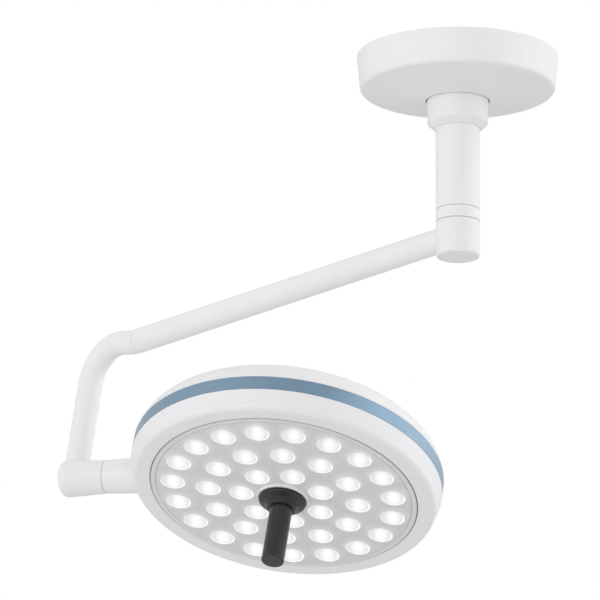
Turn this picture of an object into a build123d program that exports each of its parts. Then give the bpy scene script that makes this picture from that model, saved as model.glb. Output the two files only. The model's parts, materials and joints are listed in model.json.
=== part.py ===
"""Ceiling-mounted LED surgical light, as an assembly of separate pieces.

Millimetres, +Z up. The origin is the centre of the ceiling plate's top face, on the ceiling.
At rest the horizontal arm points along -X and the lamp head is tilted towards -Y.

Five frames follow one another down the light, each one placed in the last:
root (ceiling) > arm > elbow > swivel and barrel > head.
"""

from build123d import *
from math import asin, degrees, radians, sqrt, tan
import os

os.makedirs("parts", exist_ok=True)

# ---------------------------------------------------------------- driving dimensions

# Pose at rest, in degrees
ROLL = -11.0  # elbow about the arm's axis
SWIVEL = 30.0  # barrel about the leg, from straight under the arm
RISE = 3.0  # barrel's axis above square to the leg, against sag
TILT = -8.1  # head about the neck

# Joint stops, in degrees each side of the joint's middle, and the hub's stop lug
SWING_LUG = 9.0  # half angle of the lug that stops the arm at 165 each way
ROLL_STOP = 35.0
SWIVEL_STOP = 150.0
TILT_STOP = 35.0

# Main lengths
ARM_DROP = 287.0  # ceiling to the arm's axis
ARM_REACH = 855.6  # hub axis to the elbow's corner
LEG_LENGTH = 212.6  # arm's axis to the barrel's axis, down the leg
HEAD_REACH = 351.4  # leg's axis to the head's centre

# Fits and gaps
RUNNING_GAP = 0.05  # radial, shaft in bush
SEAM = 1.2  # dark joint line, filled by a washer
AIR = 0.1  # between faces that slide on one another

# Ceiling plate, flange and canopy
PLATE_R = 120.0
PLATE_T = 8.0
ENTRY_R = 22.0
ANCHOR_PITCH_R = 100.0
ANCHOR_HOLE_R = 5.5
FLANGE_R = 78.0
FLANGE_T = 10.0
FLANGE_BOLT_PITCH_R = 58.0
CANOPY_R = 155.0
CANOPY_RIM_R = 150.0
CANOPY_RIM_Z = -54.7
CANOPY_HOLE_R = 49.1
CANOPY_HOLE_Z = -73.0
CANOPY_WALL = 2.5
COLLAR_TOP_R = 47.6
COLLAR_LOW_R = 46.5
COLLAR_EDGE_Z = -108.7
COLLAR_LOW_Z = -117.3

# Drop tube, brake collar and hub
MAST_R = 34.0
MAST_BORE_R = 29.5
MAST_LOW_Z = -247.4
BRAKE_LOW_Z = -266.4
HUB_R = 33.7
HUB_LOW_Z = -323.0
SPINDLE_R = 15.0
SPINDLE_BORE_R = 7.0

# Arm, elbow and barrel
ARM_R = 19.2
ARM_BORE_R = 16.0
ARM_END = 748.0
ELBOW_R = 18.7
ELBOW_BORE_R = 15.7
ELBOW_BEND_R = 55.0
ELBOW_RISE = 14.0  # degrees that the elbow climbs above the arm before it turns down
ELBOW_STRAIGHT = 15.0  # seam to the corner where that climb starts
SPIGOT_R = 11.0
LEG_SPINDLE_R = 10.0
BARREL_CLOSED_R = 29.5
BARREL_OPEN_R = 26.2
BARREL_CLOSED_X = -22.0
BARREL_OPEN_X = 51.5
CABLE_R = 3.2

# Lamp head: radii from its axis, heights above the neck's axis (the lit side is below)
BAND_LOW_R = 244.5
BAND_TOP_R = 243.6
BAND_LOW_Z = -14.1
BAND_TOP_Z = 9.7
SHELL_CORNER_R = 231.5
SHELL_CORNER_Z = 57.0
SHELL_CROWN_Z = 62.0
SHELL_FILLET = 60.0
SHELL_WALL = 3.0
LIT_FACE_Z = -47.0
BEZEL_CORNER_R = 237.3
BEZEL_FILLET = 9.5
GROOVE_R = 210.8
PANEL_R = 201.4
PANEL_EDGE_Z = -48.2
PANEL_CROWN_Z = -57.0
PANEL_T = 3.0
FRAME_R = 229.0
FRAME_TOP_Z = -8.0
FRAME_T = 5.0
BOARD_R = 194.0
BOARD_LOW_Z = -38.0
BOARD_T = 1.6
CENTRE_HOLE_R = 26.0
NECK_END_R = 26.2
NECK_ROOT_R = 28.4

# Rings of light sources: number, pitch radius, angle of the first
LED_RINGS = ((19, 173.7, 8.3), (12, 117.4, -12.8), (7, 65.2, -7.9))
LENS_R = 19.9

# Sterilisable handle
POST_R = 12.0
POST_END_Z = -145.0
HANDLE_GUARD_R = 36.7
HANDLE_GUARD_Z = -62.8
HANDLE_GUARD_T = 5.0
GRIP_R = 17.7
GRIP_END_Z = -174.0

# ---------------------------------------------------------------- frames

ARM = Plane(origin=(0, 0, -ARM_DROP), x_dir=(0, 0, 1), z_dir=(-1, 0, 0)).location
ELBOW = Pos(-ARM_REACH, 0, -ARM_DROP) * Rot(X=ROLL)
SWIVEL_AXIS = ELBOW * Pos(0, 0, -LEG_LENGTH) * Rot(Z=SWIVEL)
BARREL_RISE = Rot(Y=-RISE)
HEAD = SWIVEL_AXIS * BARREL_RISE * Pos(HEAD_REACH, 0, 0) * Rot(X=TILT)
TOWARDS_HEAD = Rot(Y=90)
TOWARDS_BARREL = Rot(Y=-90)
ROOT = Pos(0, 0, 0)

# ---------------------------------------------------------------- shape helpers


def rod(radius, low, high):
    """Cylinder about Z between two heights."""
    return Pos(0, 0, low) * Cylinder(radius, high - low, align=(Align.CENTER, Align.CENTER, Align.MIN))


def ring(outer, inner, low, high):
    """Tube about Z between two heights."""
    return rod(outer, low, high) - rod(inner, low - 1, high + 1)


def block(x_span, y_span, z_span):
    """Box between three pairs of coordinates."""
    lows = [min(span) for span in (x_span, y_span, z_span)]
    sizes = [abs(span[1] - span[0]) for span in (x_span, y_span, z_span)]
    return Pos(*lows) * Box(*sizes, align=(Align.MIN, Align.MIN, Align.MIN))


def turned(corners, fillets=None):
    """Solid of revolution about Z from (radius, height) corners; fillets maps a corner to its radius."""
    radii = [(fillets or {}).get(index, 0) for index in range(len(corners))]
    outline = FilletPolyline(*corners, radius=radii, close=True)
    return revolve(Plane.XZ * make_face(outline), Axis.Z)


def around(shape, count, start=0.0):
    """Copies of a shape, evenly spaced about Z."""
    return [Rot(Z=start + index * 360 / count) * shape for index in range(count)]


def at_angles(shape, angles):
    """Copies of a shape, turned about Z by each angle."""
    return [Rot(Z=angle) * shape for angle in angles]


def cut(shape, tools):
    """A shape with every tool taken out of it."""
    for tool in tools:
        shape = shape - tool
    return shape


def sector(outer, inner, low, high, half_angle):
    """Part of a ring, half_angle each side of +Y."""
    reach = 2 * outer
    rays = [Vector(0, reach).rotate(Axis.Z, angle) for angle in (-half_angle, half_angle)]
    wedge = extrude(make_face(Polyline((0, 0), rays[0], (0, reach), rays[1], close=True)), high - low)
    return ring(outer, inner, low, high) & (Pos(0, 0, low) * wedge)


def hex_bolt(shank_r, head_r, head_height, length):
    """Hexagon bolt: the head's underside is at z 0, and the shank points up."""
    head = Pos(0, 0, -head_height) * extrude(RegularPolygon(head_r, 6), head_height)
    return head + rod(shank_r, 0, length)


def socket_screw(shank_r, head_r, head_height, length):
    """Cap screw with a hexagon socket: the head's underside is at z 0, and the shank points down."""
    socket = Pos(0, 0, head_height / 2) * extrude(RegularPolygon(shank_r, 6), head_height)
    return rod(head_r, 0, head_height) + rod(shank_r, -length, 0) - socket


def dog_screw(body_r, tip_r, tip_end, tip_start, outer_end):
    """Set screw along +Y with a dog point: its radii, and its ends measured from the shaft's axis."""
    along_y = Rot(X=-90)
    socket = Pos(0, 0, outer_end - body_r) * extrude(RegularPolygon(0.6 * body_r, 6), body_r)
    return along_y * (rod(tip_r, tip_end, tip_start) + rod(body_r, tip_start, outer_end) - socket)


def cable(points, bend_r):
    """Round cable in the XZ plane along points joined by tangent arcs."""
    path = Plane.XZ * (FilletPolyline(*points, radius=bend_r) if len(points) > 2 else Line(*points))
    start = Plane(origin=path @ 0, z_dir=path % 0)
    return sweep(start * Circle(CABLE_R), path)


pieces = {}


def keep(name, shape, frame=ROOT):
    """Store one node: a solid, or a list of separate solids, placed by its frame."""
    solids = shape if isinstance(shape, list) else [shape]
    placed = [frame * solid for item in solids for solid in item.solids()]
    pieces[name] = placed[0] if len(placed) == 1 else Compound(children=placed)


# ---------------------------------------------------------------- ceiling mounting

FLANGE_LOW_Z = -PLATE_T - FLANGE_T
CLIP_ANGLES = (22, 112, 248, 338)
CLIP_SCREW_R = 2.0
CLIP_SCREW_PITCH_R = 108.0
FLANGE_BOLT_R = 4.0
SET_SCREW_R = 2.5
SET_SCREW_ANGLES = (-6, 49, 104)
DRIVER_X = (-118.0, -80.0)
DRIVER_HALF_Y = 40.0
DRIVER_LOW_Z = -38.0
LEAD_Z = -30.0


def build_ceiling_plate():
    anchor = Pos(ANCHOR_PITCH_R, 0, 0) * rod(ANCHOR_HOLE_R, -PLATE_T - 1, 1)
    tapped = Pos(FLANGE_BOLT_PITCH_R, 0, 0) * rod(FLANGE_BOLT_R, -PLATE_T - 1, 1)
    clip_hole = Pos(CLIP_SCREW_PITCH_R, 0, 0) * rod(CLIP_SCREW_R, -PLATE_T - 1, 1)
    plate = chamfer(ring(PLATE_R, ENTRY_R, -PLATE_T, 0).edges().filter_by(GeomType.CIRCLE), 0.8)
    plate = cut(plate, around(anchor, 4, 45) + around(tapped, 4, 45))
    keep("ceiling_plate", cut(plate, at_angles(clip_hole, CLIP_ANGLES)))


def build_mast():
    clearance = Pos(FLANGE_BOLT_PITCH_R, 0, 0) * rod(FLANGE_BOLT_R + 0.5, FLANGE_LOW_Z - 1, -PLATE_T + 1)
    flange = ring(FLANGE_R, MAST_BORE_R, FLANGE_LOW_Z, -PLATE_T)
    keep("mast_flange", cut(flange, around(clearance, 4, 45)))

    bolt = Pos(FLANGE_BOLT_PITCH_R, 0, FLANGE_LOW_Z) * hex_bolt(FLANGE_BOLT_R - 0.05, 7.5, 5.3, 17)
    keep("flange_bolts", around(bolt, 4, 45))

    tube = ring(MAST_R, MAST_BORE_R, MAST_LOW_Z, FLANGE_LOW_Z)
    tube = chamfer(tube.edges().group_by(Axis.Z)[0], 0.5)
    cable_hole = Pos(0, 0, LEAD_Z) * Rot(Y=-90) * rod(CABLE_R + 1, MAST_BORE_R - 5, MAST_R + 5)
    keep("drop_tube", tube - cable_hole)


def build_canopy():
    wall = CANOPY_WALL
    ledge_r, ledge_low, ledge_high = 126.0, -12.0, -9.0
    outline = [
        (CANOPY_R, -1),
        (CANOPY_RIM_R, CANOPY_RIM_Z),
        (CANOPY_HOLE_R, CANOPY_HOLE_Z),
        (CANOPY_HOLE_R, CANOPY_HOLE_Z + wall),
        (CANOPY_RIM_R - wall, CANOPY_RIM_Z + wall),
        (CANOPY_R - wall - 0.9, ledge_low),
        (ledge_r, ledge_low),
        (ledge_r, ledge_high),
        (CANOPY_R - wall - 0.8, ledge_high),
        (CANOPY_R - wall, -1),
    ]
    keep("canopy", turned(outline, {1: 6.5, 2: 0.8, 4: 4.0}))

    profile = [(98, -8), (123, -8), (123, -12), (134, -12), (134, -13.5), (121.5, -13.5), (121.5, -9.5), (98, -9.5)]
    half_width = 8.0
    strip = extrude(Plane.XZ * make_face(Polyline(*profile, close=True)), half_width, both=True)
    clip = strip - Pos(CLIP_SCREW_PITCH_R, 0, 0) * rod(CLIP_SCREW_R + 0.2, -10, -7)
    keep("canopy_clips", at_angles(clip, CLIP_ANGLES))

    screw = Pos(CLIP_SCREW_PITCH_R, 0, -9.5) * Rot(X=180) * socket_screw(CLIP_SCREW_R - 0.05, 3.8, 2.4, 7.5)
    keep("clip_screws", at_angles(screw, CLIP_ANGLES))

    collar_top = CANOPY_HOLE_Z + 6
    bore = MAST_R + RUNNING_GAP
    outline = [
        (bore, COLLAR_LOW_Z),
        (36.5, COLLAR_LOW_Z),
        (COLLAR_LOW_R, COLLAR_EDGE_Z),
        (COLLAR_TOP_R, collar_top),
        (bore, collar_top),
    ]
    collar = turned(outline, {1: 0.8, 2: 2.5, 3: 1.0})
    screw_z = -100.0
    hole = Pos(0, 0, screw_z) * Rot(X=-90) * rod(SET_SCREW_R, MAST_R - 5, COLLAR_TOP_R + 1)
    keep("canopy_collar", cut(collar, at_angles(hole, SET_SCREW_ANGLES)))
    screw = Pos(0, 0, screw_z) * dog_screw(SET_SCREW_R, 1.5, MAST_R, MAST_R + 2, COLLAR_LOW_R - 1)
    return at_angles(screw, SET_SCREW_ANGLES)


def build_supply():
    case = block(DRIVER_X, (-DRIVER_HALF_Y, DRIVER_HALF_Y), (DRIVER_LOW_Z, -PLATE_T))
    case = chamfer(case.edges().filter_by(Axis.Z), 2)
    slots = [block((-112, -86), (y - 1, y + 1), (DRIVER_LOW_Z - 1, DRIVER_LOW_Z + 1.5)) for y in range(-30, 31, 6)]
    keep("power_supply", cut(case, slots))

    terminal = block((84, 108), (-20, 20), (-26, -PLATE_T))
    wire_holes = [Pos(0, y, -18) * Rot(Y=90) * rod(2.4, 83, 95) for y in (-13, 0, 13)]
    screw_holes = [Pos(96, y, 0) * rod(2.6, -27, -21) for y in (-13, 0, 13)]
    keep("mains_terminal", cut(terminal, wire_holes + screw_holes))

    arc = ThreePointArc((96, 18, -19), (0, 104, -19), (-99, DRIVER_HALF_Y - 2, -19))
    lead = sweep(Plane(origin=arc @ 0, z_dir=arc % 0) * Circle(CABLE_R), arc)
    lead = cut(lead, [pieces["power_supply"], terminal])
    drop = cable([(DRIVER_X[1], LEAD_Z), (0, LEAD_Z), (0, -ARM_DROP + 2)], 20)
    keep("mast_cables", [lead, drop])


# ---------------------------------------------------------------- hub and arm

STOP_PITCH_R = 26.5
STOP_PIN_R = 2.45
BUSH_R = 20.0
HUB_TOP_Z = BRAKE_LOW_Z - SEAM - AIR
HUB_CAP_R = 30.2
NUT_TOP_Z = -304.4
NUT_LOW_Z = -314.4
HUB_SHOULDER_Z = -302.4
CHAMBER_TOP_Z = -281.4
CHAMBER_LOW_Z = -292.4


def build_spindle(collar_screws):
    plug_top, shaft_low = MAST_LOW_Z + 44, NUT_LOW_Z - 1
    spindle = rod(MAST_BORE_R - RUNNING_GAP, MAST_LOW_Z, plug_top) + rod(SPINDLE_R, shaft_low, MAST_LOW_Z)
    spindle = spindle - rod(SPINDLE_BORE_R, shaft_low - 1, plug_top + 1)
    window = Pos(0, 0, -ARM_DROP) * Rot(Y=-90) * rod(5, 0, SPINDLE_R + 1)
    keep("spindle", spindle - window)

    nut = Pos(0, 0, NUT_LOW_Z) * extrude(RegularPolygon(25, 6), NUT_TOP_Z - NUT_LOW_Z)
    keep("spindle_nut", nut - rod(SPINDLE_R, NUT_LOW_Z - 1, NUT_TOP_Z + 1))

    top_seam = ring(MAST_R - 1.4, SPINDLE_R + 5, MAST_LOW_Z - SEAM, MAST_LOW_Z)
    keep("mast_seam_washer", top_seam)
    brake = ring(MAST_R, SPINDLE_R, BRAKE_LOW_Z, MAST_LOW_Z - SEAM)
    brake = chamfer(brake.edges().filter_by(GeomType.CIRCLE).sort_by(SortBy.RADIUS)[-2:], 0.4)
    lug = Rot(Z=-90) * sector(29.4, 23.6, BRAKE_LOW_Z - 5.8, BRAKE_LOW_Z, SWING_LUG)
    screw_z = (BRAKE_LOW_Z + MAST_LOW_Z - SEAM) / 2
    hole = Pos(0, 0, screw_z) * Rot(X=-90) * rod(SET_SCREW_R, SPINDLE_R, MAST_R + 1)
    keep("brake_collar", cut(brake + lug, at_angles(hole, SET_SCREW_ANGLES)))
    screw = Pos(0, 0, screw_z) * dog_screw(SET_SCREW_R, 1.5, SPINDLE_R, SPINDLE_R + 3, MAST_R - 1)
    keep("set_screws", collar_screws + at_angles(screw, SET_SCREW_ANGLES))


def build_hub():
    keep("hub_washer", ring(MAST_R - 1.4, 30.4, BRAKE_LOW_Z - SEAM, BRAKE_LOW_Z - AIR))

    cap_top = HUB_LOW_Z + 4
    housing = rod(HUB_R, HUB_LOW_Z, HUB_TOP_Z)
    rims = housing.edges().filter_by(GeomType.CIRCLE).sort_by(Axis.Z)
    housing = chamfer(fillet(rims[0], 3.4).edges().filter_by(GeomType.CIRCLE).sort_by(Axis.Z)[-1], 0.4)
    hollows = [
        rod(BUSH_R, CHAMBER_TOP_Z, HUB_TOP_Z + 1),
        rod(24, CHAMBER_LOW_Z, CHAMBER_TOP_Z),
        rod(BUSH_R, HUB_SHOULDER_Z, CHAMBER_LOW_Z),
        rod(27, cap_top, HUB_SHOULDER_Z),
        rod(HUB_CAP_R + AIR, HUB_LOW_Z - 1, cap_top),
        ring(30, 23, HUB_TOP_Z - 5.7, HUB_TOP_Z + 1),
        Pos(-STOP_PITCH_R, 0, 0) * rod(STOP_PIN_R, CHAMBER_TOP_Z + 1, HUB_TOP_Z),
        Pos(0, 0, -ARM_DROP) * Rot(Y=-90) * rod(6, 20, HUB_R + 5),
    ]
    keep("hub_housing", cut(housing, hollows))
    cap = rod(HUB_CAP_R, HUB_LOW_Z + 0.1, cap_top)
    keep("hub_cap", chamfer(cap.edges().group_by(Axis.Z)[0], 0.3))
    keep("stop_pin", Pos(-STOP_PITCH_R, 0, 0) * rod(STOP_PIN_R, CHAMBER_TOP_Z + 1.5, BRAKE_LOW_Z - 1))

    bush_bore = SPINDLE_R + RUNNING_GAP
    bush_length = CHAMBER_LOW_Z - HUB_SHOULDER_Z
    bush = ring(BUSH_R, bush_bore, 0, bush_length)
    keep("hub_bushes", [Pos(0, 0, low) * bush for low in (CHAMBER_TOP_Z, HUB_SHOULDER_Z)])
    keep("thrust_washer", ring(26, bush_bore + 0.3, NUT_TOP_Z + AIR, HUB_SHOULDER_Z))


def build_arm():
    tube = ARM * ring(ARM_R, ARM_BORE_R, 15, ARM_END)
    keep("arm_tube", tube - rod(HUB_R, HUB_LOW_Z, HUB_TOP_Z) - arm_screw_hole())

    socket_start, bush_length = ARM_END - 72, 18.0
    socket = ring(ARM_BORE_R, SPIGOT_R + 3, socket_start, ARM_END)
    keep("arm_end_socket", ARM * socket - arm_screw_hole())
    bushes = [
        ring(SPIGOT_R + 3, SPIGOT_R + RUNNING_GAP, start, start + bush_length)
        for start in (socket_start, ARM_END - bush_length)
    ]
    keep("roll_bushes", bushes, ARM)
    keep("roll_washer", ring(ELBOW_R - 0.8, SPIGOT_R + 1, ARM_END, ARM_END + SEAM), ARM)
    screw = dog_screw(3.0, 2.0, SPIGOT_R - 2.2, ARM_BORE_R - 1, ARM_R - 1.5)
    keep("roll_lock_screw", ROLL_SCREW * screw)
    keep("arm_cable", rod(CABLE_R, 27, socket_start - 17), ARM)


ROLL_SCREW_AT = ARM_END - 36
ROLL_SCREW = Pos(-ROLL_SCREW_AT, 0, -ARM_DROP)


def arm_screw_hole():
    return ROLL_SCREW * Rot(X=-90) * rod(3.0, SPIGOT_R, ARM_R + 2)


def groove_half_angle(stop, tip_r, floor_r):
    """Half angle of a groove that lets a dog point of tip_r travel stop degrees each way."""
    return stop + degrees(asin(tip_r / floor_r)) + 1.0


# ---------------------------------------------------------------- elbow and barrel

DOG_TIP_R = 2.0
LEG_END_Z = 17.0  # leg tube's end above the barrel's axis
SWIVEL_SCREW_Z = -5.0
TILT_SCREW_X = 38.0
TILT_BUSH_X = 24.0


def build_elbow():
    seam_x = ARM_REACH - ARM_END - SEAM - AIR
    leg_end = -LEG_LENGTH + LEG_END_Z
    climb_x = seam_x - ELBOW_STRAIGHT
    bends = [(climb_x, 0), (0, climb_x * tan(radians(ELBOW_RISE)))]
    path = Plane.XZ * FilletPolyline((seam_x, 0), *bends, (0, leg_end), radius=ELBOW_BEND_R)
    section = Plane(origin=path @ 0, z_dir=path % 0) * (Circle(ELBOW_R) - Circle(ELBOW_BORE_R))
    keep("elbow_tube", sweep(section, path), ELBOW)

    inner_x, plug_x = ARM_REACH - ARM_END + 80, seam_x - 8
    along_x = Rot(Y=90)
    spigot = rod(SPIGOT_R, seam_x - 2, inner_x) + rod(ELBOW_BORE_R, plug_x, seam_x - 0.5)
    spigot = spigot - rod(CABLE_R + 1, plug_x - 1, inner_x + 1)
    screw_x = ARM_REACH - ROLL_SCREW_AT
    floor_r = SPIGOT_R - 2.5
    half = groove_half_angle(ROLL_STOP, DOG_TIP_R, floor_r)
    spigot = spigot - sector(SPIGOT_R + 1, floor_r, screw_x - 2.8, screw_x + 2.8, half)
    keep("roll_spigot", along_x * spigot, ELBOW)
    retainer = ring(ARM_BORE_R - 1.5, SPIGOT_R, inner_x - 7.5, inner_x - 1)
    keep("roll_retainer", along_x * retainer, ELBOW)

    low, plug_top = -14.0, LEG_END_Z + 40
    spindle = rod(LEG_SPINDLE_R, low, LEG_END_Z + 1) + rod(ELBOW_BORE_R, LEG_END_Z, plug_top)
    spindle = spindle - rod(CABLE_R + 1, low - 1, plug_top + 1)
    floor_r = LEG_SPINDLE_R - 2.5
    key_half = 180 - groove_half_angle(SWIVEL_STOP, DOG_TIP_R, floor_r)
    groove = ring(LEG_SPINDLE_R + 1, floor_r, SWIVEL_SCREW_Z - 2.8, SWIVEL_SCREW_Z + 2.8)
    key = Rot(Z=180) * sector(LEG_SPINDLE_R + 2, floor_r - 1, SWIVEL_SCREW_Z - 3, SWIVEL_SCREW_Z + 3, key_half)
    keep("leg_spindle", spindle - (groove - key), ELBOW * Pos(0, 0, -LEG_LENGTH))

    lead = cable([(inner_x - 5, 0), *bends, (0, -LEG_LENGTH + low + 4)], ELBOW_BEND_R)
    keep("leg_cable", lead, ELBOW)


def build_barrel():
    body = turned(
        [
            (0, BARREL_CLOSED_X),
            (BARREL_CLOSED_R, BARREL_CLOSED_X),
            (BARREL_OPEN_R, BARREL_OPEN_X),
            (0, BARREL_OPEN_X),
        ],
        {1: 12.0, 2: 0.5},
    )
    tilt_axis = BARREL_RISE * TOWARDS_HEAD
    swivel_bore, tilt_bore = 14.0, 16.0
    screw_length = 40.0
    hollows = [
        rod(ELBOW_R + 0.35, LEG_END_Z - 0.3, BARREL_CLOSED_R + 10),
        rod(swivel_bore, -17, LEG_END_Z),
        tilt_axis * rod(tilt_bore, TILT_BUSH_X, BARREL_OPEN_X + 1),
        tilt_axis * rod(CABLE_R + 1, 0, TILT_BUSH_X + 1),
        Pos(0, 0, SWIVEL_SCREW_Z) * Rot(X=-90) * rod(3.0, 5, screw_length),
        BARREL_RISE * Pos(TILT_SCREW_X, 0, 0) * Rot(X=-90) * rod(3.0, 5, screw_length),
    ]
    keep("barrel", cut(tilt_axis * body, hollows), SWIVEL_AXIS)

    swivel_bush = ring(swivel_bore, LEG_SPINDLE_R + RUNNING_GAP, -15, LEG_END_Z - 0.4)
    hole = Pos(0, 0, SWIVEL_SCREW_Z) * Rot(X=-90) * rod(3.0, 5, screw_length)
    tilt_bush = TOWARDS_HEAD * ring(tilt_bore, SPIGOT_R + RUNNING_GAP, TILT_BUSH_X, BARREL_OPEN_X - AIR)
    tilt_bush -= Pos(TILT_SCREW_X, 0, 0) * Rot(X=-90) * rod(3.0, 5, screw_length)
    keep("barrel_bushes", [swivel_bush - hole, BARREL_RISE * tilt_bush], SWIVEL_AXIS)

    swivel_screw = dog_screw(3.0, DOG_TIP_R, LEG_SPINDLE_R - 2.2, swivel_bore - 2, BARREL_CLOSED_R - 3)
    tilt_screw = dog_screw(3.0, DOG_TIP_R, SPIGOT_R - 2.2, tilt_bore - 2, BARREL_OPEN_R - 1.5)
    screws = [Pos(0, 0, SWIVEL_SCREW_Z) * swivel_screw, BARREL_RISE * Pos(TILT_SCREW_X, 0, 0) * tilt_screw]
    keep("barrel_lock_screws", screws, SWIVEL_AXIS)

    washer = ring(BARREL_OPEN_R - 1.0, SPIGOT_R + 1, BARREL_OPEN_X, BARREL_OPEN_X + SEAM)
    keep("tilt_washer", TOWARDS_HEAD * washer, SWIVEL_AXIS * BARREL_RISE)


# ---------------------------------------------------------------- lamp head

SHELL_SCREW_PITCH_R = 222.0
SHELL_SCREW_START = 30.0
FRAME_LOW_Z = FRAME_TOP_Z - FRAME_T
STANDOFF_PITCH_R = 144.0
SINK_LOW_Z = BOARD_LOW_Z + BOARD_T
SINK_BASE_T = 5.4
BEZEL_WALL_R = 240.7
INNER_WALL_R = 237.7
NECK_HOLE = TOWARDS_BARREL * rod(NECK_ROOT_R + 0.4, 215, 270)
TONGUE_X = (-240.0, -150.0)
TONGUE_HALF_Y = 22.0
TONGUE_TOP_Z = 4.0
LENS_REAR_Z = -39.6


def panel_height(radius):
    """Height of the lens plate's lit surface, a shallow dome that bulges out of the lit side."""
    sag = PANEL_EDGE_Z - PANEL_CROWN_Z
    dome_r = (PANEL_R**2 + sag**2) / (2 * sag)
    return PANEL_CROWN_Z + dome_r - sqrt(dome_r**2 - radius**2)


def led_places():
    """Position of every light source, ring by ring."""
    places = []
    for count, pitch_r, start in LED_RINGS:
        places += [Rot(Z=start + index * 360 / count) * Pos(pitch_r, 0, 0) for index in range(count)]
    return places


def build_neck():
    seam_x = HEAD_REACH - BARREL_OPEN_X - SEAM - AIR
    inner_x, band_x, shaft_root = 236.0, 243.0, 252.0
    outline = [(0, inner_x), (NECK_ROOT_R, inner_x), (NECK_ROOT_R, band_x), (NECK_END_R, seam_x), (0, seam_x)]
    neck = TOWARDS_BARREL * turned(outline, {3: 0.5})
    neck += block(TONGUE_X, (-TONGUE_HALF_Y, TONGUE_HALF_Y), (FRAME_TOP_Z, TONGUE_TOP_Z))
    channel_end = TONGUE_X[1] + 1
    channel = block((-inner_x, channel_end), (-CABLE_R - 0.8, CABLE_R + 0.8), (-CABLE_R - 0.8, TONGUE_TOP_Z + 1))
    neck -= TOWARDS_BARREL * rod(SPIGOT_R, shaft_root, seam_x + 1)
    neck -= TOWARDS_BARREL * rod(CABLE_R + 1, inner_x - 1, shaft_root + 1)
    bolt_places = [(x, y) for x in (-222, -168) for y in (-14, 14)]
    neck = cut(neck - channel, [Pos(x, y, 0) * rod(2.6, FRAME_TOP_Z - 1, TONGUE_TOP_Z + 1) for x, y in bolt_places])
    keep("neck", neck, HEAD)
    bolt = socket_screw(2.45, 4.3, 4.5, 15)
    bolts = [Pos(x, y, TONGUE_TOP_Z) * bolt for x, y in bolt_places]

    shaft_end = HEAD_REACH - TILT_BUSH_X - 2
    screw_x = HEAD_REACH - TILT_SCREW_X
    floor_r = SPIGOT_R - 2.5
    half = groove_half_angle(TILT_STOP, DOG_TIP_R, floor_r)
    shaft = ring(SPIGOT_R, CABLE_R + 1, shaft_root, shaft_end)
    shaft -= sector(SPIGOT_R + 1, floor_r, screw_x - 2.8, screw_x + 2.8, half)
    keep("tilt_shaft", TOWARDS_BARREL * shaft, HEAD)

    keep("head_cable", TOWARDS_BARREL * rod(CABLE_R, 42, shaft_end - 2), HEAD)
    return bolt_places, bolts


def build_housing(neck_bolts):
    outline = [
        (INNER_WALL_R, -2.0),
        (BEZEL_WALL_R, -2.0),
        (BEZEL_WALL_R, BAND_TOP_Z),
        (BAND_TOP_R - 0.2, BAND_TOP_Z),
        (SHELL_CORNER_R, SHELL_CORNER_Z),
        (0, SHELL_CROWN_Z),
        (0, SHELL_CROWN_Z - SHELL_WALL),
        (SHELL_CORNER_R - SHELL_WALL, SHELL_CORNER_Z - SHELL_WALL),
        (INNER_WALL_R, BAND_TOP_Z - 1),
    ]
    fillets = {3: 0.8, 4: SHELL_FILLET, 7: SHELL_FILLET - SHELL_WALL}
    shell = turned(outline, fillets)
    well_r, well_floor = 5.2, 2.0
    envelope = [(0, FRAME_TOP_Z), (INNER_WALL_R - 0.5, FRAME_TOP_Z)] + outline[3:6]
    boss = Pos(SHELL_SCREW_PITCH_R, 0, 0) * rod(well_r + 2.4, FRAME_TOP_Z, SHELL_CORNER_Z)
    boss = boss & turned(envelope, {3: SHELL_FILLET})
    well = Pos(SHELL_SCREW_PITCH_R, 0, 0) * rod(well_r, well_floor, SHELL_CROWN_Z)
    clearance = Pos(SHELL_SCREW_PITCH_R, 0, 0) * rod(2.7, FRAME_TOP_Z - 1, well_floor + 1)
    for copy in around(boss, 6, SHELL_SCREW_START):
        shell += copy
    shell = cut(shell, around(well, 6, SHELL_SCREW_START) + around(clearance, 6, SHELL_SCREW_START))
    keep("upper_housing", shell - NECK_HOLE, HEAD)
    screw = Pos(SHELL_SCREW_PITCH_R, 0, well_floor) * socket_screw(2.45, 4.3, 4.5, 38)
    keep("head_screws", around(screw, 6, SHELL_SCREW_START) + neck_bolts, HEAD)

    band_bore = BEZEL_WALL_R + 0.2
    band_low, band_top, bevel = BAND_LOW_Z + AIR, BAND_TOP_Z - AIR, 0.6
    outline = [
        (band_bore, band_low),
        (BAND_LOW_R - 0.2 - bevel, band_low),
        (BAND_LOW_R - 0.2, band_low + bevel),
        (BAND_TOP_R, band_top - bevel),
        (BAND_TOP_R - bevel, band_top),
        (band_bore, band_top),
    ]
    keep("accent_band", turned(outline) - NECK_HOLE, HEAD)


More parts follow.
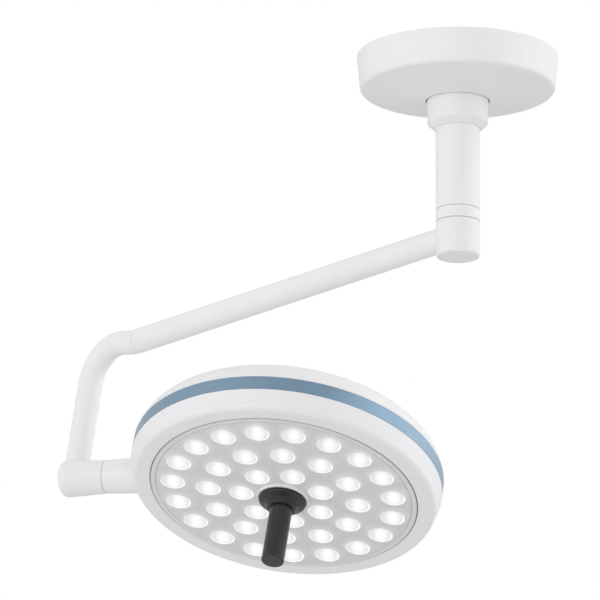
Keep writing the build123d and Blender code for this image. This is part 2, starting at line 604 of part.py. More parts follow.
def build_bezel():
    floor_z = LIT_FACE_Z + SHELL_WALL
    seat_z = LIT_FACE_Z + 4.5
    outline = [
        (BEZEL_WALL_R, -2.4),
        (BEZEL_WALL_R, BAND_LOW_Z),
        (BAND_LOW_R, BAND_LOW_Z),
        (BEZEL_CORNER_R, LIT_FACE_Z),
        (GROOVE_R, LIT_FACE_Z),
        (GROOVE_R, seat_z),
        (204, seat_z),
        (204, seat_z + SHELL_WALL),
        (GROOVE_R + SHELL_WALL, seat_z + SHELL_WALL),
        (GROOVE_R + SHELL_WALL, floor_z),
        (BEZEL_CORNER_R - SHELL_WALL, floor_z),
        (INNER_WALL_R, BAND_LOW_Z - 3),
        (INNER_WALL_R, -2.4),
    ]
    bezel = turned(outline, {2: 0.8, 3: BEZEL_FILLET, 4: 0.6, 10: BEZEL_FILLET - 3})
    boss = Pos(SHELL_SCREW_PITCH_R, 0, 0) * ring(5.5, 2.5, floor_z - 0.5, FRAME_LOW_Z)
    for copy in around(boss, 6, SHELL_SCREW_START):
        bezel += copy
    keep("bezel", bezel - NECK_HOLE, HEAD)

    gasket_z = seat_z - AIR
    lip_r = GROOVE_R - 1.5
    outline = [
        (204.4, gasket_z),
        (GROOVE_R - 0.2, gasket_z),
        (GROOVE_R - 0.2, LIT_FACE_Z + 1.2),
        (lip_r, LIT_FACE_Z + 1.2),
        (lip_r, gasket_z - 1.1),
        (204.4, gasket_z - 1.1),
    ]
    keep("panel_gasket", turned(outline), HEAD)
    ring_low, ring_high = PANEL_EDGE_Z, PANEL_EDGE_Z + 2.4
    outline = [(PANEL_R, ring_low), (lip_r - 0.4, ring_low), (lip_r - 0.4, ring_high), (PANEL_R, ring_high)]
    keep("retaining_ring", turned(outline, {0: 0.4, 1: 0.6}), HEAD)


def build_panel():
    edge_r, flange_r = PANEL_R - 0.5, GROOVE_R - 2.2
    flange_low, flange_high = -45.7, -43.8
    inner_r = edge_r - PANEL_T
    lit_arc = ThreePointArc(
        (0, PANEL_CROWN_Z), (edge_r / 2, panel_height(edge_r / 2)), (edge_r, panel_height(edge_r))
    )
    back_arc = ThreePointArc(
        (inner_r, panel_height(inner_r) + PANEL_T),
        (inner_r / 2, panel_height(inner_r / 2) + PANEL_T),
        (0, PANEL_CROWN_Z + PANEL_T),
    )
    rim = Polyline(
        lit_arc @ 1,
        (edge_r, flange_low),
        (flange_r, flange_low),
        (flange_r, flange_high),
        (inner_r, flange_high),
        back_arc @ 0,
    )
    outline = make_face([lit_arc, rim, back_arc, Line(back_arc @ 1, lit_arc @ 0)])
    plate = revolve(Plane.XZ * outline, Axis.Z)
    hole = rod(LENS_R + 0.2, PANEL_CROWN_Z - 5, flange_high + 1)
    plate = cut(plate, [place * hole for place in led_places()] + [rod(42.3, -60, -50)])
    keep("lens_plate", plate, HEAD)

    lenses = []
    for place in led_places():
        front = panel_height(Vector(place.position).length)
        outline = [
            (0, front - 1.8),
            (12, front - 1.5),
            (18.2, front - 0.7),
            (LENS_R, front - 0.2),
            (LENS_R, front + 2.6),
            (8, LENS_REAR_Z),
            (0, LENS_REAR_Z),
        ]
        lenses.append(place * turned(outline))
    keep("led_lenses", lenses, HEAD)

    board = ring(BOARD_R, CENTRE_HOLE_R, BOARD_LOW_Z, SINK_LOW_Z)
    screw_hole = Pos(STANDOFF_PITCH_R, 0, 0) * rod(1.6, BOARD_LOW_Z - 1, SINK_LOW_Z + SINK_BASE_T + 1)
    keep("led_board", cut(board, around(screw_hole, 6)), HEAD)
    chip = block((-1.75, 1.75), (-1.75, 1.75), (BOARD_LOW_Z - 1.2, BOARD_LOW_Z))
    keep("led_chips", [place * chip for place in led_places()], HEAD)

    sink_top = SINK_LOW_Z + SINK_BASE_T
    fin_top, fin_t, fin_pitch, fin_count = -16.0, 2.0, 12.0, 31
    fins = [
        block((-BOARD_R, BOARD_R), (y - fin_t / 2, y + fin_t / 2), (sink_top - 1, fin_top))
        for y in (fin_pitch * (index - fin_count // 2) for index in range(fin_count))
    ]
    clear = around(Pos(STANDOFF_PITCH_R, 0, 0) * rod(8, sink_top, fin_top + 1), 6)
    fins = cut(ring(BOARD_R - 4, CENTRE_HOLE_R, sink_top - 1, fin_top), clear) & Compound(children=fins)
    base = ring(BOARD_R - 2, CENTRE_HOLE_R, SINK_LOW_Z, sink_top)
    keep("heat_sink", cut(base + fins.solids(), around(screw_hole, 6)), HEAD)

    board_screw = Pos(STANDOFF_PITCH_R, 0, BOARD_LOW_Z) * Rot(X=180) * socket_screw(1.45, 2.8, 2.6, 11)
    frame_screw = Pos(STANDOFF_PITCH_R, 0, FRAME_TOP_Z) * socket_screw(1.45, 2.8, 2.6, 11)
    keep("standoff_screws", around(board_screw, 6) + around(frame_screw, 6), HEAD)


def build_frame(neck_bolt_places):
    hole = Pos(STANDOFF_PITCH_R, 0, 0) * rod(1.6, FRAME_LOW_Z - 1, FRAME_TOP_Z + 1)
    shell_hole = Pos(SHELL_SCREW_PITCH_R, 0, 0) * rod(2.8, FRAME_LOW_Z - 1, FRAME_TOP_Z + 1)
    neck_holes = [Pos(x, y, 0) * rod(2.5, FRAME_LOW_Z - 1, FRAME_TOP_Z + 1) for x, y in neck_bolt_places]
    lightening = Pos(186, 0, 0) * rod(20, FRAME_LOW_Z - 1, FRAME_TOP_Z + 1)
    frame = rod(FRAME_R, FRAME_LOW_Z, FRAME_TOP_Z)
    tools = around(hole, 6) + around(shell_hole, 6, SHELL_SCREW_START) + neck_holes
    tools += at_angles(lightening, (-120, -90, -60, -30, 0, 30, 60, 90, 120))
    keep("head_frame", cut(frame, tools), HEAD)

    board_x, board_y, board_low = (-40, 120), (-50, 50), FRAME_TOP_Z + 6
    corners = [(x, y) for x in (-34, 114) for y in (-44, 44)]
    board = block(board_x, board_y, (board_low, board_low + BOARD_T))
    board = cut(board, [Pos(x, y, 0) * rod(1.6, board_low - 1, 1) for x, y in corners])
    spacers = [Pos(x, y, 0) * ring(3.5, 1.5, FRAME_TOP_Z, board_low) for x, y in corners]
    sink_top = SINK_LOW_Z + SINK_BASE_T
    standoff = Pos(0, 0, sink_top) * extrude(RegularPolygon(5, 6), FRAME_LOW_Z - sink_top) - rod(1.5, -40, 0)
    keep("standoffs", around(Pos(STANDOFF_PITCH_R, 0, 0) * standoff, 6) + spacers, HEAD)
    top = board_low + BOARD_T
    components = [
        block((-38, -26), (-12, 12), (top, top + 9)),
        block((100, 112), (-20, 20), (top, top + 9)),
        block((-10, 14), (-36, -12), (top, top + 12)),
        block((26, 40), (12, 40), (top, top + 4)),
        Pos(64, -24, 0) * rod(9, top, top + 18),
        Pos(84, -24, 0) * rod(9, top, top + 18),
        Pos(0, 26, 0) * rod(11, top, top + 10),
        block((56, 84), (8, 36), (top, top + 6)),
    ]
    keep("driver_board", [board] + components, HEAD)


def build_handle():
    post_base_r, post_base_t = 22.0, 6.0
    seal_z, seal_r = -130.0, 1.25
    post = rod(POST_R, POST_END_Z, FRAME_LOW_Z) + rod(post_base_r, FRAME_LOW_Z - post_base_t, FRAME_LOW_Z)
    post = chamfer(post.edges().group_by(Axis.Z)[0], 1.5)
    groove = ring(POST_R + 1, POST_R - 2.4, seal_z - 1.4, seal_z + 1.4)
    keep("handle_post", post - groove, HEAD)
    keep("handle_seal", Pos(0, 0, seal_z) * Torus(POST_R - 1.1, seal_r), HEAD)

    outline = [
        (24, -50.5),
        (44.6, -50.5),
        (44.6, -53.2),
        (42, -53.2),
        (42, -59.2),
        (40.6, -61.0),
        (37.8, -61.0),
        (36.6, -57.6),
        (24, -57.6),
    ]
    keep("handle_socket", turned(outline, {4: 0.8, 5: 0.8, 6: 0.5}), HEAD)

    guard_top = HANDLE_GUARD_Z + HANDLE_GUARD_T / 2
    guard_low = HANDLE_GUARD_Z - HANDLE_GUARD_T / 2
    collar_r, collar_top, collar_low = 23.4, guard_low - 5.5, guard_low - 12.5
    outline = [
        (GRIP_R, guard_top),
        (HANDLE_GUARD_R, guard_top),
        (HANDLE_GUARD_R, guard_low),
        (collar_r + 3.2, guard_low - 3.4),
        (collar_r + 1.2, collar_top),
        (collar_r, collar_top - 0.8),
        (collar_r - 0.4, collar_low),
        (GRIP_R, collar_low),
    ]
    keep("handle_guard", turned(outline, {1: 1.0, 2: 1.8, 3: 1.5, 4: 0.5, 6: 1.8}), HEAD)
    bore_r, bore_end = POST_R + 0.3, POST_END_Z - 3
    outline = [
        (0, GRIP_END_Z),
        (GRIP_R, GRIP_END_Z),
        (GRIP_R, guard_top),
        (bore_r, guard_top),
        (bore_r, bore_end),
        (0, bore_end),
    ]
    keep("handle_grip", turned(outline, {1: 1.6}), HEAD)


build_ceiling_plate()
build_mast()
build_supply()
build_spindle(build_canopy())
build_hub()
build_arm()
build_elbow()
build_barrel()
neck_bolt_places, neck_bolts = build_neck()
build_housing(neck_bolts)
build_bezel()
build_panel()
build_frame(neck_bolt_places)
build_handle()

for name, shape in pieces.items():
    export_step(shape, f"parts/{name}.step")
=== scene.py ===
"""Looks of the ceiling-mounted surgical light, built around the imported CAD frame."""

import json
import math

import bmesh
import bpy
from mathutils import Matrix, Vector


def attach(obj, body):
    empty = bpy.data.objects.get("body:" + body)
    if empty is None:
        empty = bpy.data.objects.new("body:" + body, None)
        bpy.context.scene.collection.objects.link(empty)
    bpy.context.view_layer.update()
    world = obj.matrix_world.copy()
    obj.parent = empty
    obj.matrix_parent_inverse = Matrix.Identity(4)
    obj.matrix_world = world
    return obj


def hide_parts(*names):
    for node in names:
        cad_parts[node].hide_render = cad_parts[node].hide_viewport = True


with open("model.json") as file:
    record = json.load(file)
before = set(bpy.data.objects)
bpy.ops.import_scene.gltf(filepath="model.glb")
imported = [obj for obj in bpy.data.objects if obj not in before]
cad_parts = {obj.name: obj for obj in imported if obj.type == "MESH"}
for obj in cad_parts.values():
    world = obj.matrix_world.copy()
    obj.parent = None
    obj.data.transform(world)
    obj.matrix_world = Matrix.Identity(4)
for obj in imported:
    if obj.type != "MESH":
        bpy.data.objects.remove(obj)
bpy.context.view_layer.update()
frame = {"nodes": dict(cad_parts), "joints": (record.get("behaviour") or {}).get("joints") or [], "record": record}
scene = bpy.context.scene
nodes = frame["nodes"]
joints = {j["name"]: j for j in frame["joints"]}

MM = 0.001

# ---------------------------------------------------------------- the head's frame at rest

TILT_TO_HEAD = 0.2999  # metres, from the tilt joint to the head's centre


def head_at_rest():
    """Matrix of the head's frame: Z out of the shell's crown, X along the neck."""
    neck = Vector(joints["head_tilt"]["axis"])
    z = -Vector(joints["handle_pull_off"]["axis"]).normalized()
    x = (neck - z * neck.dot(z)).normalized()
    matrix = Matrix((x, z.cross(x), z)).transposed().to_4x4()
    matrix.translation = Vector(joints["head_tilt"]["pos_m"]) + neck * TILT_TO_HEAD
    return matrix


HEAD = head_at_rest()

# ---------------------------------------------------------------- material helpers

BLACK = (0, 0, 0, 1)
FULL = (1, 1, 1, 1)


def lin(value):
    """Linear light from a screen value of 0 to 255."""
    c = value / 255
    return c / 12.92 if c <= 0.04045 else ((c + 0.055) / 1.055) ** 2.4


def colour(red, green, blue):
    return (lin(red), lin(green), lin(blue), 1)


class Nodes:
    """Short names for building one material's node tree."""

    def __init__(self, name):
        self.mat = bpy.data.materials.new(name)
        self.mat.use_nodes = True
        self.tree = self.mat.node_tree
        self.tree.nodes.clear()
        self.out = self.add("ShaderNodeOutputMaterial")
        self.bsdf = self.add("ShaderNodeBsdfPrincipled")
        self.link(self.bsdf.outputs[0], self.out.inputs["Surface"])
        self.coords = self.add("ShaderNodeTexCoord").outputs["Object"]

    def add(self, kind):
        return self.tree.nodes.new(kind)

    def link(self, a, b):
        self.tree.links.new(a, b)

    def put(self, socket, value):
        if isinstance(value, bpy.types.NodeSocket):
            self.link(value, socket)
        else:
            socket.default_value = value

    def set(self, name, value):
        """Link or set one input of the shader."""
        self.put(self.bsdf.inputs[name], value)

    def math(self, op, a, b=0.0, c=0.0):
        node = self.add("ShaderNodeMath")
        node.operation = op
        for socket, value in zip(node.inputs, (a, b, c)):
            self.put(socket, value)
        return node.outputs[0]

    def plus(self, a, b):
        return self.math("ADD", a, b)

    def minus(self, a, b):
        return self.math("SUBTRACT", a, b)

    def times(self, a, b):
        return self.math("MULTIPLY", a, b)

    def both_ways(self, value):
        """From 0 to 1 into -1 to 1."""
        return self.math("MULTIPLY_ADD", value, 2.0, -1.0)

    def noise(self, size_mm, detail=3.0, rough=0.5):
        """Noise of a feature size, in -1 to 1."""
        node = self.add("ShaderNodeTexNoise")
        node.inputs["Scale"].default_value = 1 / (size_mm * MM)
        node.inputs["Detail"].default_value = detail
        node.inputs["Roughness"].default_value = rough
        self.link(self.coords, node.inputs["Vector"])
        return self.both_ways(node.outputs["Fac"])

    def spread(self, value, low, high, low_out, high_out):
        """One range mapped onto another, held at its ends."""
        node = self.add("ShaderNodeMapRange")
        node.clamp = True
        ends = {"From Min": low, "From Max": high, "To Min": low_out, "To Max": high_out}
        for key, end in {"Value": value, **ends}.items():
            self.put(node.inputs[key], end)
        return node.outputs[0]

    def mix(self, factor, a, b):
        node = self.add("ShaderNodeMix")
        node.data_type = "RGBA"
        self.put(node.inputs[0], factor)
        self.put(node.inputs[6], a)
        self.put(node.inputs[7], b)
        return node.outputs[2]

    def in_plane(self, matrix):
        """Place across a body's frame at rest, as its X and Y in millimetres."""
        places = []
        for axis in (matrix.col[0], matrix.col[1]):
            along = Vector(axis[:3])
            dot = self.add("ShaderNodeVectorMath")
            dot.operation = "DOT_PRODUCT"
            self.link(self.coords, dot.inputs[0])
            dot.inputs[1].default_value = along / MM
            places.append(self.minus(dot.outputs["Value"], along.dot(matrix.translation) / MM))
        return places

    def length(self, a, b):
        return self.math("SQRT", self.plus(self.times(a, a), self.times(b, b)))

    def ring(self, radius, middle, flat, edge):
        """1 within flat of a radius, falling to 0 at edge from it."""
        return self.spread(self.math("ABSOLUTE", self.minus(radius, middle)), flat, edge, 1.0, 0.0)

    def bump(self, height, depth_mm):
        node = self.add("ShaderNodeBump")
        node.inputs["Strength"].default_value = 1.0
        node.inputs["Distance"].default_value = depth_mm * MM
        self.link(height, node.inputs["Height"])
        return node.outputs[0]


PATCH_MM = 60.0  # size of the slow drift in tone and gloss
SPECK_TO_GRAIN = 6
DRIFT_SHARE = 0.35
SPECK_SHARE = 0.25
COAT_ROUGHNESS = 0.12


def finish(name, base, shade, rough, rough_spread, grain_mm, depth_mm, metal=0.0, specular=0.5, coat=0.0):
    """A finish with grain, broad colour drift and uneven gloss, between two screen colours."""
    n = Nodes(name)
    drift = n.noise(PATCH_MM, 2.0)
    fine = n.noise(grain_mm, 3.0, 0.55)
    speck = n.noise(grain_mm * SPECK_TO_GRAIN, 2.0)
    tone = n.math("MULTIPLY_ADD", drift, DRIFT_SHARE, n.times(speck, SPECK_SHARE))
    n.set("Base Color", n.mix(n.spread(tone, -0.35, 0.35, 0.0, 1.0), colour(*base), colour(*shade)))
    gloss = n.plus(n.times(drift, 0.5), n.times(fine, 0.5))
    n.set("Roughness", n.spread(gloss, -0.5, 0.5, rough - rough_spread, rough + rough_spread))
    n.set("Normal", n.bump(fine, depth_mm))
    n.set("Metallic", metal)
    n.set("Specular IOR Level", specular)
    if coat:
        n.set("Coat Weight", coat)
        n.set("Coat Roughness", COAT_ROUGHNESS)
    return n


# Each row: material slot, its finish's name, base and shade as screen colours, roughness and its
# spread, grain and bump depth in millimetres, and what differs from plain plastic.
WHITE = (239, 239, 240), (235, 235, 236)
METAL = {"metal": 1.0}
LACQUER = {"metal": 0.6, "coat": 0.4}  # metallic paint under a clear coat
SATIN = {"specular": 0.42}
PLAIN = {}
FINISH_ROWS = (
    ("white_paint", "powder_coat_white", *WHITE, 0.42, 0.07, 0.9, 0.012, {"coat": 0.08}),
    ("white_shell", "moulded_white", *WHITE, 0.40, 0.06, 0.6, 0.006, {"coat": 0.05}),
    ("white_canopy", "moulded_white_canopy", *WHITE, 0.44, 0.06, 0.7, 0.008, PLAIN),
    ("accent_blue", "accent_band_blue", (129, 158, 180), (123, 152, 174), 0.36, 0.06, 0.5, 0.005, LACQUER),
    ("ring_grey", "retaining_ring_grey", (224, 225, 226), (219, 220, 221), 0.38, 0.06, 0.5, 0.005, PLAIN),
    ("led_yellow", "led_phosphor", (240, 222, 120), (232, 210, 100), 0.5, 0.08, 0.3, 0.01, PLAIN),
    ("socket_white", "socket_white_matte", (232, 232, 232), (226, 226, 227), 0.5, 0.07, 0.6, 0.008, PLAIN),
    ("handle_black", "handle_black_matte", (42, 42, 45), (37, 37, 40), 0.29, 0.07, 0.45, 0.012, SATIN),
    ("black_rubber", "rubber_black", (40, 40, 41), (32, 32, 33), 0.62, 0.08, 0.6, 0.02, PLAIN),
    ("washer_grey", "washer_grey_plastic", (206, 207, 208), (198, 199, 200), 0.5, 0.08, 0.5, 0.01, PLAIN),
    ("grey_rubber", "rubber_grey", (168, 168, 169), (158, 158, 160), 0.6, 0.08, 0.6, 0.02, PLAIN),
    ("steel", "turned_steel", (168, 170, 172), (150, 152, 155), 0.32, 0.1, 0.25, 0.006, METAL),
    ("zinc_screw", "zinc_plated_steel", (186, 187, 184), (168, 169, 168), 0.34, 0.1, 0.3, 0.006, METAL),
    ("bronze", "bush_bronze", (176, 132, 82), (156, 112, 66), 0.38, 0.1, 0.3, 0.008, METAL),
    ("aluminium", "milled_aluminium", (205, 206, 208), (190, 192, 195), 0.36, 0.09, 0.3, 0.006, METAL),
    ("pcb_green", "board_green", (28, 92, 56), (22, 80, 48), 0.4, 0.08, 0.4, 0.01, PLAIN),
    ("pcb_white", "board_white", (228, 228, 224), (222, 222, 218), 0.4, 0.07, 0.4, 0.01, PLAIN),
    ("supply_case", "supply_case_metal", (176, 178, 180), (160, 162, 165), 0.42, 0.1, 0.4, 0.01, METAL),
    ("terminal_beige", "terminal_beige", (208, 202, 180), (200, 193, 170), 0.5, 0.07, 0.5, 0.01, PLAIN),
)

# ---------------------------------------------------------------- the lit lenses and their glow

LED_RINGS = ((19, 173.7, 8.3), (12, 117.4, -12.8), (7, 65.2, -7.9))  # number, pitch radius, first angle
LENS_R = 19.9
BEAM_TURN = math.radians(-72.8)  # the way the light source's long side lies in the head
BEAM_V = (math.cos(BEAM_TURN), math.sin(BEAM_TURN))
BEAM_U = (-BEAM_V[1], BEAM_V[0])
PANEL_R = 201.4
PANEL_EDGE_Z = -48.2
PANEL_CROWN_Z = -57.0

# Painted glow: the lenses' light spilt on the plate, painted on it as emission; distances are in lens radii
GLOW_SHIFT = 0.30
GLOW_NEAR = 0.9
GLOW_FAR = 1.65
GLOW_FALL = 1.6
GLOW_MOST = 1.3
GLOW_STRENGTH = 0.075


def panel_height(radius):
    """Height of the lens plate's lit face in the head's frame."""
    sag = PANEL_EDGE_Z - PANEL_CROWN_Z
    dome_r = (PANEL_R**2 + sag**2) / (2 * sag)
    return PANEL_CROWN_Z + dome_r - math.sqrt(dome_r**2 - radius**2)


def painted_glow_from(n, x, y):
    """Painted glow of light spilt on the plate beside the nearest lens of each ring, 0 to GLOW_MOST."""
    radius = n.length(x, y)
    angle = n.math("ARCTAN2", y, x)
    total = 0.0
    for count, pitch_r, first in LED_RINGS:
        step = 2 * math.pi / count
        turned = n.minus(angle, math.radians(first) - step / 2)
        local = n.minus(n.math("FLOORED_MODULO", turned, step), step / 2)
        at = n.minus(angle, local)
        dx = n.minus(n.times(radius, n.math("COSINE", angle)), n.times(n.math("COSINE", at), pitch_r))
        dy = n.minus(n.times(radius, n.math("SINE", angle)), n.times(n.math("SINE", at), pitch_r))
        u = n.plus(n.times(dx, BEAM_U[0]), n.times(dy, BEAM_U[1]))
        v = n.plus(n.times(dx, BEAM_V[0]), n.times(dy, BEAM_V[1]))
        far = n.length(u, n.minus(v, GLOW_SHIFT * LENS_R))
        near = n.spread(far, GLOW_NEAR * LENS_R, GLOW_FAR * LENS_R, 1.0, 0.0)
        total = n.plus(total, n.math("POWER", near, GLOW_FALL))
    return n.math("MINIMUM", total, GLOW_MOST)


def make_plate_finish():
    """Satin grey plate with a painted glow of the lenses' light on it."""
    n = finish("lens_plate_grey", (220, 220, 220), (215, 215, 215), 0.46, 0.06, 0.5, 0.006)
    x, y = n.in_plane(HEAD)
    # The plate is no lamp: its emission is painted glow beside each lens.
    n.set("Emission Color", n.mix(painted_glow_from(n, x, y), BLACK, FULL))
    n.set("Emission Strength", GLOW_STRENGTH)
    return n.mat


# The lens pattern; lengths are in lens radii, and light is linear
STREAKS_ROUND = 14.0  # how often the streaks change round a lens, and along its radius
STREAKS_OUT = 2.0
CORE_AT = (0.02, 0.14)
CORE_HALF = (0.50, 1.05)
CORE_END = 1.25
CORE_FULL = 0.25
CORE_RAGGED = 0.42
CORE_LIGHT = 1.02
WING_LIGHT = lin(226)
WING_SIDE_GAIN = 0.06
WING_STREAK = 0.13
LOW_SIDE_TURN = 0.45
# Painted shade on the lens's step and painted highlight on its rim, both on the low side only
STEP_R, STEP_FLAT, STEP_EDGE = 0.77, 0.02, 0.08
STEP_SHADE_IN_WING = 0.03
STEP_SHADE_OVER_ALL = 0.06
RIM_R, RIM_FLAT, RIM_EDGE = 0.895, 0.03, 0.09
RIM_PAINTED_HIGHLIGHT = 0.17
REFLECTED = 0.03  # what the clear face reflects on top of its own light
LENS_BUMP_MM = 0.05


def make_lens_finish():
    """Moulded lens over a lit source: bright middle and streaked wings, with painted shade on the step and a
    painted highlight on the rim, on the low side.
    """
    n = Nodes("lens_lit")
    place = n.add("ShaderNodeAttribute")
    place.attribute_name = "lens_place"
    split = n.add("ShaderNodeSeparateXYZ")
    n.link(place.outputs["Vector"], split.inputs[0])
    u, v, offset = split.outputs
    radius = n.length(u, v)
    angle = n.math("ARCTAN2", v, u)

    rays = n.add("ShaderNodeTexNoise")
    rays.noise_dimensions = "2D"
    rays.inputs["Scale"].default_value = 1.0
    rays.inputs["Detail"].default_value = 3.0
    sweep = n.add("ShaderNodeCombineXYZ")
    n.link(n.times(angle, STREAKS_ROUND), sweep.inputs[0])
    n.link(n.plus(n.times(radius, STREAKS_OUT), offset), sweep.inputs[1])
    n.link(sweep.outputs[0], rays.inputs["Vector"])
    streak = n.both_ways(rays.outputs["Fac"])

    across, along = [n.times(n.plus(w, -at), 1.0 / half) for w, at, half in zip((u, v), CORE_AT, CORE_HALF)]
    reach = n.plus(n.length(across, along), n.times(streak, CORE_RAGGED))
    core = n.spread(reach, CORE_END, CORE_FULL, 0.0, 1.0)
    # Painted shade on the step and painted highlight on the rim, kept to the low side
    low_side = n.spread(n.minus(n.times(u, LOW_SIDE_TURN), v), -0.35, 0.35, 0.0, 1.0)
    step = n.times(n.ring(radius, STEP_R, STEP_FLAT, STEP_EDGE), low_side)
    rim = n.times(n.ring(radius, RIM_R, RIM_FLAT, RIM_EDGE), low_side)

    wing = n.plus(WING_LIGHT, n.times(n.spread(u, -0.4, 0.5, 0.0, 1.0), WING_SIDE_GAIN))
    wing = n.plus(wing, n.times(streak, WING_STREAK))
    wing = n.minus(wing, n.times(step, STEP_SHADE_IN_WING))
    lit = n.plus(wing, n.times(n.minus(CORE_LIGHT, wing), core))
    lit = n.minus(lit, n.times(step, STEP_SHADE_OVER_ALL))
    lit = n.plus(lit, n.times(rim, RIM_PAINTED_HIGHLIGHT))
    lit = n.times(lit, n.spread(radius, 0.94, 1.0, 1.0, 0.90))

    tint = n.mix(n.spread(lit, 0.72, 1.0, 0.0, 1.0), (0.985, 0.99, 1.0, 1), FULL)
    shade = n.add("ShaderNodeVectorMath")
    shade.operation = "SCALE"
    n.link(tint, shade.inputs[0])
    n.link(n.math("MAXIMUM", n.minus(lit, REFLECTED), 0.0), shade.inputs["Scale"])
    n.set("Emission Color", shade.outputs[0])
    n.set("Emission Strength", 1.0)
    n.set("Base Color", (0.03, 0.03, 0.03, 1))
    n.set("Roughness", n.spread(n.noise(0.6, 2.0), -0.5, 0.5, 0.16, 0.28))
    n.set("Normal", n.bump(streak, LENS_BUMP_MM))
    n.set("Specular IOR Level", 0.35)
    return n.mat


FINISH = {slot: finish(*row, **extras).mat for slot, *row, extras in FINISH_ROWS}
FINISH["panel_grey"] = make_plate_finish()
FINISH["lens_clear"] = make_lens_finish()

slots = {s["node"]: s["material_slot"] for s in frame["record"]["subparts"]}
for node_name, obj in nodes.items():
    obj.data.materials.clear()
    obj.data.materials.append(FINISH[slots[node_name]])

# ---------------------------------------------------------------- the lenses, as one detailed piece

LENS_REAR_Z = -39.6
LENS_REAR_R = 8
LENS_SIDE = 2.6  # straight side, behind the plate's face
LENS_SEGMENTS = 48
LENS_SHARP_DEG = 50
DISH_DEPTH = 1.8
DISH_RISE = 0.3
RIM_PROFILE = (  # radius, and depth behind the plate's face
    (15.4, 1.35),
    (16.0, 0.95),
    (16.6, 1.05),
    (17.6, 1.15),
    (18.6, 0.95),
    (19.4, 0.55),
    (LENS_R, 0.1),
)
STREAK_OFFSET = 3.7  # sets each lens's streaks apart from its neighbour's


def lathe(bm, outline, matrix, segments, layer, mark):
    """Add a closed solid of revolution about the matrix's Z from (radius, height) points in millimetres."""
    rings = []
    for radius, height in outline:
        around = []
        for index in range(segments if radius > 0 else 1):
            a = 2 * math.pi * index / segments
            local = Vector((radius * math.cos(a), radius * math.sin(a), height))
            vert = bm.verts.new(matrix @ (local * MM))
            vert[layer] = mark(local)
            around.append(vert)
        rings.append(around)
    for low, high in zip(rings, rings[1:] + rings[:1]):
        for index in range(segments):
            after = (index + 1) % segments
            corners = [low[index % len(low)], low[after % len(low)]]
            corners += [high[after % len(high)], high[index % len(high)]]
            corners = list(dict.fromkeys(corners))
            if len(corners) > 2:
                bm.faces.new(corners)


def make_piece(name, bm, slot, body, *replaced, sharp):
    """Finish a mesh as one named piece that rides on a body and stands for CAD nodes."""
    bmesh.ops.recalc_face_normals(bm, faces=bm.faces)
    mesh = bpy.data.meshes.new(name)
    bm.to_mesh(mesh)
    bm.free()
    mesh.shade_smooth()
    mesh.set_sharp_from_angle(angle=math.radians(sharp))
    mesh.materials.append(FINISH[slot])
    piece = bpy.data.objects.new(name, mesh)
    scene.collection.objects.link(piece)
    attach(piece, body)
    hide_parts(*replaced)


def lens_outline(front):
    """A dished face with a step and a raised rim, a straight side and a tapered back."""
    dish = [(LENS_R * part / 12, front - DISH_DEPTH + DISH_RISE * (part / 9) ** 2) for part in range(1, 9)]
    rim = [(radius, front - depth) for radius, depth in RIM_PROFILE]
    rear = [(LENS_R, front + LENS_SIDE), (LENS_REAR_R, LENS_REAR_Z), (0, LENS_REAR_Z)]
    return [(0, front - DISH_DEPTH), *dish, *rim, *rear]


def make_lenses():
    """All the lenses, each marked with its place across itself for the lens pattern."""
    bm = bmesh.new()
    layer = bm.verts.layers.float_vector.new("lens_place")
    number = 0
    for count, pitch_r, first in LED_RINGS:
        outline = lens_outline(panel_height(pitch_r))
        for index in range(count):
            number += 1
            a = math.radians(first) + 2 * math.pi * index / count
            at = HEAD @ Matrix.Translation(Vector((pitch_r * math.cos(a), pitch_r * math.sin(a), 0)) * MM)

            def mark(local, offset=number * STREAK_OFFSET):
                u = (local.x * BEAM_U[0] + local.y * BEAM_U[1]) / LENS_R
                v = (local.x * BEAM_V[0] + local.y * BEAM_V[1]) / LENS_R
                return Vector((u, v, offset))

            lathe(bm, outline, at, LENS_SEGMENTS, layer, mark)
    make_piece("lens_set", bm, "lens_clear", "head", "led_lenses", sharp=LENS_SHARP_DEG)


make_lenses()

# ---------------------------------------------------------------- camera

AZIMUTH, ELEVATION = math.radians(48.85), math.radians(-16.85)
AIM = Vector((-0.2439, -0.1088, -0.3576))
CAMERA_DISTANCE = 30.774
LENS_MM = 1200
SENSOR_MM = 36
CLIP_END = 200

back = Vector(
    (math.sin(AZIMUTH) * math.cos(ELEVATION), -math.cos(AZIMUTH) * math.cos(ELEVATION), math.sin(ELEVATION))
)
camera_data = bpy.data.cameras.new("camera")
camera_data.lens = LENS_MM
camera_data.sensor_width = SENSOR_MM
camera_data.clip_end = CLIP_END
camera = bpy.data.objects.new("camera", camera_data)
scene.collection.objects.link(camera)
camera.location = AIM + back * CAMERA_DISTANCE
camera.rotation_mode = "QUATERNION"
camera.rotation_quaternion = (-back).to_track_quat("-Z", "Y")
scene.camera = camera

scene.view_settings.view_transform = "Standard"

# ---------------------------------------------------------------- floor and light

FLOOR_Z = -2.6
FLOOR_R = 14.0
FLOOR_SEGMENTS = 128
FLOOR_TONES = colour(233, 233, 235), colour(229, 229, 231)
FLOOR_PATCH_MM = 900
FLOOR_GRAIN_MM = 40


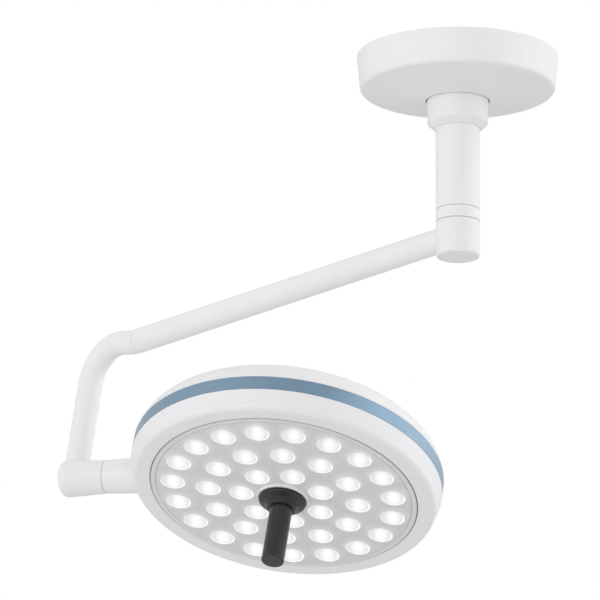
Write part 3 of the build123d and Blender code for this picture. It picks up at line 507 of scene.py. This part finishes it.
def make_floor():
    """A round floor far below, seen from above only."""
    mesh = bpy.data.meshes.new("floor")
    bm = bmesh.new()
    bmesh.ops.create_circle(bm, cap_ends=True, segments=FLOOR_SEGMENTS, radius=FLOOR_R)
    bm.to_mesh(mesh)
    bm.free()
    floor = bpy.data.objects.new("floor", mesh)
    floor.location = (0, 0, FLOOR_Z)
    scene.collection.objects.link(floor)
    n = Nodes("floor_pale")
    n.set("Base Color", n.mix(n.spread(n.noise(FLOOR_PATCH_MM, 3.0), -0.5, 0.5, 0.0, 1.0), *FLOOR_TONES))
    n.set("Roughness", n.spread(n.noise(FLOOR_GRAIN_MM, 3.0), -0.5, 0.5, 0.55, 0.7))
    through = n.add("ShaderNodeBsdfTransparent")
    either = n.add("ShaderNodeMixShader")
    n.link(n.add("ShaderNodeNewGeometry").outputs["Backfacing"], either.inputs[0])
    n.link(n.bsdf.outputs[0], either.inputs[1])
    n.link(through.outputs[0], either.inputs[2])
    n.link(either.outputs[0], n.out.inputs["Surface"])
    mesh.materials.append(n.mat)


make_floor()

RIGHT = Vector((math.cos(AZIMUTH), math.sin(AZIMUTH), 0))
FRONT = Vector((math.sin(AZIMUTH), -math.cos(AZIMUTH), 0))
UP = Vector((0, 0, 1))
LEFT_FRONT = (FRONT - 0.55 * RIGHT - 0.25 * UP).normalized()
STUDIO = (  # a large soft panel's direction, how tight it is, and its strength
    (UP, 1.5, 0.85),
    (RIGHT, 2.0, 1.80),
    (-RIGHT, 2.0, 0.68),
    (-FRONT, 2.0, 0.40),
    (LEFT_FRONT, 8.0, 3.0),
    ((FRONT - RIGHT).normalized(), 3.0, 0.25),
)
ROOM_LIGHT = 0.01


def make_world():
    """White room with soft panels all round, seen by the camera as plain white."""
    world = bpy.data.worlds.new("studio")
    scene.world = world
    world.use_nodes = True
    tree = world.node_tree
    tree.nodes.clear()

    def join(value, socket):
        if isinstance(value, bpy.types.NodeSocket):
            tree.links.new(value, socket)
        else:
            socket.default_value = value

    def calc(op, a, b):
        node = tree.nodes.new("ShaderNodeMath")
        node.operation = op
        join(a, node.inputs[0])
        join(b, node.inputs[1])
        return node.outputs[0]

    def plain(strength):
        node = tree.nodes.new("ShaderNodeBackground")
        node.inputs["Color"].default_value = FULL
        join(strength, node.inputs["Strength"])
        return node.outputs[0]

    way = tree.nodes.new("ShaderNodeTexCoord").outputs["Generated"]
    light = ROOM_LIGHT
    for direction, tight, strength in STUDIO:
        dot = tree.nodes.new("ShaderNodeVectorMath")
        dot.operation = "DOT_PRODUCT"
        tree.links.new(way, dot.inputs[0])
        dot.inputs[1].default_value = direction
        lobe = calc("POWER", calc("MAXIMUM", dot.outputs["Value"], 0.0), tight)
        light = calc("ADD", light, calc("MULTIPLY", lobe, strength))
    mixed = tree.nodes.new("ShaderNodeMixShader")
    path = tree.nodes.new("ShaderNodeLightPath")
    tree.links.new(path.outputs["Is Camera Ray"], mixed.inputs[0])
    tree.links.new(plain(light), mixed.inputs[1])
    tree.links.new(plain(1.0), mixed.inputs[2])
    out = tree.nodes.new("ShaderNodeOutputWorld")
    tree.links.new(mixed.outputs[0], out.inputs["Surface"])


make_world()

KEY_AT = Vector((-2.2, -4.2, -0.6))
KEY_AIM = Vector((-0.45, 0.0, -0.45))
KEY_SIZE = 1.6
KEY_WATTS = 8

key_data = bpy.data.lights.new("key", "AREA")
key_data.shape = "SQUARE"
key_data.size = KEY_SIZE
key_data.energy = KEY_WATTS
key = bpy.data.objects.new("key", key_data)
key.location = KEY_AT
key.rotation_mode = "QUATERNION"
key.rotation_quaternion = (KEY_AIM - KEY_AT).to_track_quat("-Z", "Y")
key.visible_camera = False
scene.collection.objects.link(key)
